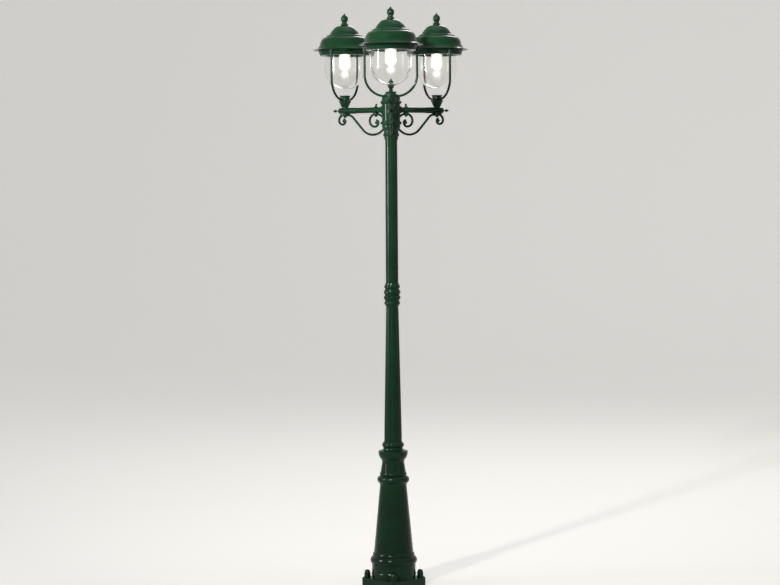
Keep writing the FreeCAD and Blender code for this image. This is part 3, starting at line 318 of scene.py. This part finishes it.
def bulb_glass():
    """Lit frosted bulb: brighter in the middle than at the neck and the limb."""
    mat, tree, shader = new_material("bulb_glass")
    shader.inputs["Base Color"].default_value = (*BULB_WHITE, 1.0)
    shader.inputs["Roughness"].default_value = BULB_ROUGH
    rim = add(tree, "ShaderNodeLayerWeight", Blend=BULB_LIMB_BLEND)
    glow = mixed(tree, rim.outputs["Facing"], BULB_CORE_GLOW, BULB_LIMB_GLOW)
    tree.links.new(glow, shader.inputs["Emission Color"])
    gallery_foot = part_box("gallery_front")[0][2]
    where = add(tree, "ShaderNodeTexCoord")
    place = add(tree, "ShaderNodeSeparateXYZ")
    tree.links.new(where.outputs["Object"], place.inputs[0])
    neck = span(tree, place.outputs["Z"], gallery_foot - BULB_NECK_BELOW,
                gallery_foot + BULB_NECK_ABOVE, 0.0, BULB_NECK)
    edge = add(tree, "ShaderNodeMath", operation="ADD")
    tree.links.new(rim.outputs["Facing"], edge.inputs[0])
    tree.links.new(neck, edge.inputs[1])
    soft = add(tree, "ShaderNodeMath", operation="POWER")
    tree.links.new(span(tree, edge.outputs[0], 0.0, BULB_LIMB_REACH, 1.0, 0.0), soft.inputs[0])
    soft.inputs[1].default_value = BULB_FALL
    tree.links.new(span(tree, soft.outputs[0], 0.0, 1.0, BULB_LIMB, BULB_CORE),
                   shader.inputs["Emission Strength"])
    return mat


MATERIALS = {
    "green_paint": green_paint(),
    "steel_tube": bare_metal("steel_tube", (0.42, 0.43, 0.44), (0.60, 0.60, 0.61),
                             30.0, 4.0, 260.0, (0.28, 0.45)),
    "terminal_plastic": moulded("terminal_plastic", (0.70, 0.69, 0.64), (0.62, 0.61, 0.57),
                                (0.44, 0.58), 500.0),
    "clear_glass": clear_glass(),
    "gasket_rubber": moulded("gasket_rubber", (0.020, 0.020, 0.020), (0.032, 0.031, 0.030),
                             (0.64, 0.78), 700.0),
    "holder_plastic": moulded("holder_plastic", (0.80, 0.79, 0.74), (0.72, 0.71, 0.66),
                              (0.29, 0.43), 400.0),
    "cap_metal": bare_metal("cap_metal", (0.70, 0.70, 0.70), (0.80, 0.80, 0.79),
                            60.0, 3.0, 300.0, (0.20, 0.34)),
    "bulb_glass": bulb_glass(),
}


def dress_nodes():
    """Give each CAD node its slot's material."""
    for part in record["subparts"]:
        mesh = nodes[part["node"]].data
        mesh.materials.clear()
        mesh.materials.append(MATERIALS[part["material_slot"]])


# ---------------------------------------------------------------- pieces

def green_piece(name, shape, stands_for=None, sharp=False):
    """Turn a bmesh into a painted piece on the post, which may stand for a CAD node."""
    bmesh.ops.recalc_face_normals(shape, faces=shape.faces)
    mesh = bpy.data.meshes.new(name)
    shape.to_mesh(mesh)
    shape.free()
    for polygon in mesh.polygons:
        polygon.use_smooth = True
    if sharp:
        mesh.set_sharp_from_angle(angle=math.radians(SHARP_ANGLE))
    mesh.materials.append(MATERIALS["green_paint"])
    piece = bpy.data.objects.new(name, mesh)
    bpy.context.scene.collection.objects.link(piece)
    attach(piece, "post")
    if stands_for is not None:
        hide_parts(stands_for)


# ---------------------------------------------------------------- leaves

def leaf_point(angle, across, along, outer):
    """A point of one leaf, in shares of the cup's radius and height."""
    stretch = math.sin(math.pi * (LEAF_WIDTH_START + (1 - LEAF_WIDTH_START) * along))
    width = stretch ** LEAF_BLUNTNESS if along < 1 else 0.0
    turn = angle + across * max(width, LEAF_POINT) * LEAF_FILL * math.pi / LEAVES
    radius = LEAF_NECK + (LEAF_LIP - LEAF_NECK) * along
    if outer:
        crown = (1 - across * across) * math.sqrt(
            math.sin(math.pi * min(along + LEAF_CROWN_START, 1.0)))
        rib = math.exp(-(across / LEAF_RIB_WIDTH) ** 2) * math.sqrt(1 - along)
        radius += LEAF_SWELL * crown + LEAF_RIB * rib
    else:
        radius -= LEAF_ROOT
    radius += LEAF_CURL * max(0.0, (along - LEAF_CURL_START) / (1 - LEAF_CURL_START)) ** 2
    height = LEAF_FOOT + (LEAF_TIP - LEAF_FOOT) * along
    return radius * math.cos(turn), radius * math.sin(turn), height


def leaf(mesh, angle, centre, radius, low, height):
    """Add one closed leaf to a bmesh: its face, its back and the edge between them."""
    layers = []
    for outer in (True, False):
        rows = []
        for i in range(LEAF_ALONG + 1):
            row = []
            for j in range(LEAF_ACROSS + 1):
                x, y, z = leaf_point(angle, 2 * j / LEAF_ACROSS - 1, i / LEAF_ALONG, outer)
                row.append(mesh.verts.new((centre[0] + x * radius, centre[1] + y * radius,
                                           low + z * height)))
            rows.append(row)
        layers.append(rows)
    face, back = layers
    for i in range(LEAF_ALONG):
        for j in range(LEAF_ACROSS):
            mesh.faces.new((face[i][j], face[i][j + 1], face[i + 1][j + 1], face[i + 1][j]))
            mesh.faces.new((back[i][j], back[i + 1][j], back[i + 1][j + 1], back[i][j + 1]))
        for j, order in ((0, 1), (LEAF_ACROSS, -1)):
            side = (face[i][j], face[i + 1][j], back[i + 1][j], back[i][j])
            mesh.faces.new(side[::order])
    for i, order in ((0, -1), (LEAF_ALONG, 1)):
        for j in range(LEAF_ACROSS):
            end = (face[i][j], face[i][j + 1], back[i][j + 1], back[i][j])
            mesh.faces.new(end[::order])


def cup_leaves():
    """Raised pointed leaves round each cup."""
    for head, azimuth in HEADS.items():
        low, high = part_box("cup_" + head)
        centre = ((low[0] + high[0]) / 2, (low[1] + high[1]) / 2)
        radius = (high[0] - low[0]) / 2
        shape = bmesh.new()
        for k in range(LEAVES):
            leaf(shape, 2 * math.pi * (k + 0.5) / LEAVES + math.radians(azimuth), centre, radius,
                 low[2], high[2] - low[2])
        green_piece("cup_leaves_" + head, shape)


# ---------------------------------------------------------------- hub and scrolls

def outline(steps):
    """Points of (radius, height) pairs; a third value bows a run out, or in if negative."""
    points = [Vector(steps[0])]
    for step in steps[1:]:
        start, end = points[-1], Vector(step[:2])
        if len(step) == 3:
            hand = 1 if step[2] > 0 else -1
            chord = end - start
            half = chord.length / 2
            depth = math.sqrt(max(step[2] ** 2 - half ** 2, 0.0))
            left = Vector((-chord.y, chord.x)).normalized()
            centre = (start + end) / 2 + left * (hand * depth)
            sweep_angle = 2 * math.asin(min(half / abs(step[2]), 1.0)) * hand
            first = start - centre
            count = max(4, math.ceil(math.degrees(abs(sweep_angle)) / ARC_STEP))
            for i in range(1, count):
                angle = sweep_angle * i / count
                points.append(centre + Vector((
                    first.x * math.cos(angle) - first.y * math.sin(angle),
                    first.x * math.sin(angle) + first.y * math.cos(angle))))
        points.append(end)
    return points


def revolve(shape, points, turn_frame, closed):
    """Turn an outline round its frame's Z; a closed outline makes a ring."""
    rings = []
    for radius, height in points:
        if radius < ON_AXIS:
            rings.append([shape.verts.new(turn_frame @ Vector((0, 0, height * MILLIMETRE)))])
            continue
        ring = []
        for i in range(ROUND_SIDES):
            angle = 2 * math.pi * i / ROUND_SIDES
            spot = Vector((radius * math.cos(angle), radius * math.sin(angle), height))
            ring.append(shape.verts.new(turn_frame @ (spot * MILLIMETRE)))
        rings.append(ring)
    pairs = list(zip(rings, rings[1:])) + ([(rings[-1], rings[0])] if closed else [])
    for lower, upper in pairs:
        for i in range(ROUND_SIDES):
            j = (i + 1) % ROUND_SIDES
            if len(lower) == 1:
                shape.faces.new((lower[0], upper[j], upper[i]))
            elif len(upper) == 1:
                shape.faces.new((lower[i], lower[j], upper[0]))
            else:
                shape.faces.new((lower[i], lower[j], upper[j], upper[i]))


def raised(level):
    """Frame on the post's axis at a level."""
    return Matrix.Translation((0, 0, level * MILLIMETRE))


def arm_frame(azimuth):
    """Frame on the axis at the arms' level, whose Z runs along one arm."""
    turn = Matrix.Rotation(math.radians(azimuth), 4, "Z")
    return raised(ARM_LEVEL) @ turn @ Matrix.Rotation(math.pi / 2, 4, "Y")


def hub():
    """The hub with its three arm bosses, and the lid with its ball on top."""
    shape = bmesh.new()
    revolve(shape, outline(HUB_OUTLINE), raised(HUB_FOOT), closed=True)
    boss = [(0, 0), (ARM_BOSS, 0), (ARM_BOSS, ARM_BOSS_REACH), (0, ARM_BOSS_REACH)]
    for azimuth in HEADS.values():
        revolve(shape, boss, arm_frame(azimuth), closed=False)
    green_piece("hub_shell", shape, "hub_casting", sharp=True)
    shape = bmesh.new()
    revolve(shape, outline(LID_OUTLINE), raised(LID_LEVEL), closed=False)
    green_piece("hub_lid", shape, "hub_cap", sharp=True)


def bent(start, heading, runs):
    """Points and headings along straight runs and (radius, turn) arcs, and the last centre."""
    here = Vector(start)
    trail = [(here, heading)]
    centre = here
    for run in runs:
        if isinstance(run, tuple):
            radius, turned = run
            hand = 1 if turned > 0 else -1
            angle = math.radians(heading)
            centre = here + Vector((-math.sin(angle), math.cos(angle))) * (hand * radius)
            count = max(2, math.ceil(abs(turned) / ARC_STEP))
            for i in range(1, count + 1):
                swing = heading + turned * i / count
                out = Vector((math.sin(math.radians(swing)), -math.cos(math.radians(swing))))
                trail.append((centre + out * (hand * radius), swing))
            heading += turned
        else:
            angle = math.radians(heading)
            trail.append((here + Vector((math.cos(angle), math.sin(angle))) * run, heading))
        here = trail[-1][0]
    return trail, centre


def scroll(name, node, azimuth, start, heading, runs):
    """A round rod along bends in an arm's upright plane, with a ball at its eye."""
    trail, eye = bent(start, heading, runs)
    along = Matrix.Rotation(math.radians(azimuth), 3, "Z")
    lift = Vector((0, 0, ARM_LEVEL))

    def placed(reach, side, height):
        return (along @ Vector((reach, side, height)) + lift) * MILLIMETRE

    shape = bmesh.new()
    rings = []
    for spot, swing in trail:
        angle = math.radians(swing)
        ring = []
        for i in range(ROD_SIDES):
            round_angle = 2 * math.pi * i / ROD_SIDES
            out = ROD_RADIUS * math.cos(round_angle)
            ring.append(shape.verts.new(placed(spot.x - math.sin(angle) * out,
                                               ROD_RADIUS * math.sin(round_angle),
                                               spot.y + math.cos(angle) * out)))
        rings.append(ring)
    for first, second in zip(rings, rings[1:]):
        for i in range(ROD_SIDES):
            j = (i + 1) % ROD_SIDES
            shape.faces.new((first[i], first[j], second[j], second[i]))
    shape.faces.new(rings[0])
    shape.faces.new(rings[-1])
    bmesh.ops.create_uvsphere(shape, u_segments=EYE_SEGMENTS, v_segments=EYE_RINGS,
                              radius=EYE_RADIUS * MILLIMETRE,
                              matrix=Matrix.Translation(placed(eye.x, 0, eye.y)))
    green_piece(name, shape, node, sharp=True)


def volute(radii):
    """Quarter turns of ever smaller radius."""
    return [(radius, VOLUTE_TURN) for radius in radii]


def scrolls():
    """The S scroll and the C scroll of each arm, on tangent arcs."""
    both = BIG_BELLY + BIG_BEND
    belly_centre = HUB_RADIUS + BIG_BELLY_CENTRE
    reach = ARM_REACH - BIG_FLAT[0] - belly_centre
    fall = BIG_BELLY_DROP - both
    far = math.hypot(reach, fall)
    slope = math.degrees(math.atan2(fall, reach) + math.asin(both / far))
    entry = math.asin((BIG_BELLY_CENTRE + ROOT_DEPTH) / BIG_BELLY)
    big_start = (belly_centre - BIG_BELLY * math.sin(entry),
                 -BIG_CREST_DROP - BIG_BELLY_DROP + BIG_BELLY * (1 - math.cos(entry)))
    big_runs = [(BIG_BELLY, math.degrees(entry) + slope), math.sqrt(far * far - both * both),
                (BIG_BEND, -slope), sum(BIG_FLAT)] + volute(BIG_VOLUTE)
    bend = SMALL_REACH - SMALL_FLAT / 2
    lean = math.asin((bend - HUB_RADIUS + ROOT_DEPTH) / SMALL_ROOT)
    small_start = (bend - SMALL_ROOT * math.sin(lean),
                   -SMALL_CREST_DROP - SMALL_ROOT * (1 - math.cos(lean)))
    small_runs = [(SMALL_ROOT, -math.degrees(lean)), SMALL_FLAT] + volute(SMALL_VOLUTE)
    for head, azimuth in HEADS.items():
        scroll("s_scroll_" + head, "big_scroll_" + head, azimuth, big_start,
               -math.degrees(entry), big_runs)
        scroll("c_scroll_" + head, "small_scroll_" + head, azimuth, small_start,
               math.degrees(lean), small_runs)


# ---------------------------------------------------------------- stage

def seen_directly(tree):
    """1 for rays from the camera, through glass or off gloss, and 0 for the rest."""
    rays = add(tree, "ShaderNodeLightPath")
    seen = add(tree, "ShaderNodeMath", operation="MAXIMUM")
    tree.links.new(rays.outputs["Is Camera Ray"], seen.inputs[0])
    tree.links.new(rays.outputs["Is Transmission Ray"], seen.inputs[1])
    either = add(tree, "ShaderNodeMath", operation="MAXIMUM")
    tree.links.new(seen.outputs[0], either.inputs[0])
    tree.links.new(rays.outputs["Is Glossy Ray"], either.inputs[1])
    return either.outputs[0]


def backdrop_paper():
    """Pale paper that keeps the object's shadow, and shows as a set tone to camera and gloss."""
    mat, tree, shader = new_material("backdrop_paper")
    shader.inputs["Base Color"].default_value = (*PAPER, 1.0)
    shader.inputs["Roughness"].default_value = PAPER_ROUGH
    shader.inputs["Emission Color"].default_value = (*PAPER, 1.0)
    tree.links.new(span(tree, seen_directly(tree), 0.0, 1.0, 0.0, PAPER_STRENGTH),
                   shader.inputs["Emission Strength"])
    return mat


def sweep():
    """Floor that curves up into a backdrop, in one sheet."""
    profile = [(BACKDROP_FRONT, 0.0), (BACKDROP_BACK, 0.0)]
    for step in range(1, BACKDROP_STEPS + 1):
        angle = math.pi / 2 * step / BACKDROP_STEPS
        profile.append((BACKDROP_BACK + BACKDROP_CURVE * math.sin(angle),
                        BACKDROP_CURVE * (1 - math.cos(angle))))
    profile.append((BACKDROP_BACK + BACKDROP_CURVE, BACKDROP_HEIGHT))
    points = [(x, y, z) for y, z in profile for x in (-FLOOR_HALF, FLOOR_HALF)]
    faces = [(2 * i, 2 * i + 1, 2 * i + 3, 2 * i + 2) for i in range(len(profile) - 1)]
    mesh = bpy.data.meshes.new("sweep")
    mesh.from_pydata(points, [], faces)
    for face in mesh.polygons:
        face.use_smooth = True
    mesh.materials.append(backdrop_paper())
    obj = bpy.data.objects.new("sweep", mesh)
    bpy.context.scene.collection.objects.link(obj)


def soft_light(name, place, target, size, power, colour, spread, glint):
    """An area lamp aimed at a point; a glint lamp shows in gloss and glass alone."""
    data = bpy.data.lights.new(name, "AREA")
    data.shape = "RECTANGLE"
    data.size, data.size_y = size
    data.energy = power
    data.color = colour
    data.spread = math.radians(spread)
    obj = bpy.data.objects.new(name, data)
    obj.location = place
    obj.rotation_euler = (Vector(target) - Vector(place)).to_track_quat("-Z", "Y").to_euler()
    obj.visible_diffuse = not glint
    bpy.context.scene.collection.objects.link(obj)


def lights():
    """The world, dim as a light and pale where it is seen, and the lamps."""
    world = bpy.data.worlds.new("studio")
    bpy.context.scene.world = world
    world.use_nodes = True
    tree = world.node_tree
    background = tree.nodes["Background"]
    background.inputs["Color"].default_value = (*PAPER, 1.0)
    tree.links.new(span(tree, seen_directly(tree), 0.0, 1.0, WORLD_LIGHT, WORLD_SEEN),
                   background.inputs["Strength"])
    for name, settings in LAMPS.items():
        soft_light(name, *settings)


def camera():
    """The photograph's view."""
    data = bpy.data.cameras.new("photo_view")
    data.sensor_width = SENSOR_WIDTH
    data.lens = FOCAL_PIXELS / PHOTO_WIDTH * SENSOR_WIDTH
    obj = bpy.data.objects.new("photo_view", data)
    tilt = Matrix.Rotation(math.pi / 2 - CAMERA_PITCH, 4, "X")
    roll = Matrix.Rotation(CAMERA_ROLL, 4, "Z")
    stand = Matrix.Translation((CAMERA_SIDE, -CAMERA_DISTANCE, CAMERA_HEIGHT))
    obj.matrix_world = stand @ tilt @ roll
    bpy.context.scene.collection.objects.link(obj)
    bpy.context.scene.camera = obj


dress_nodes()
cup_leaves()
hub()
scrolls()
sweep()
lights()
camera()
bpy.context.scene.view_settings.view_transform = "Standard"
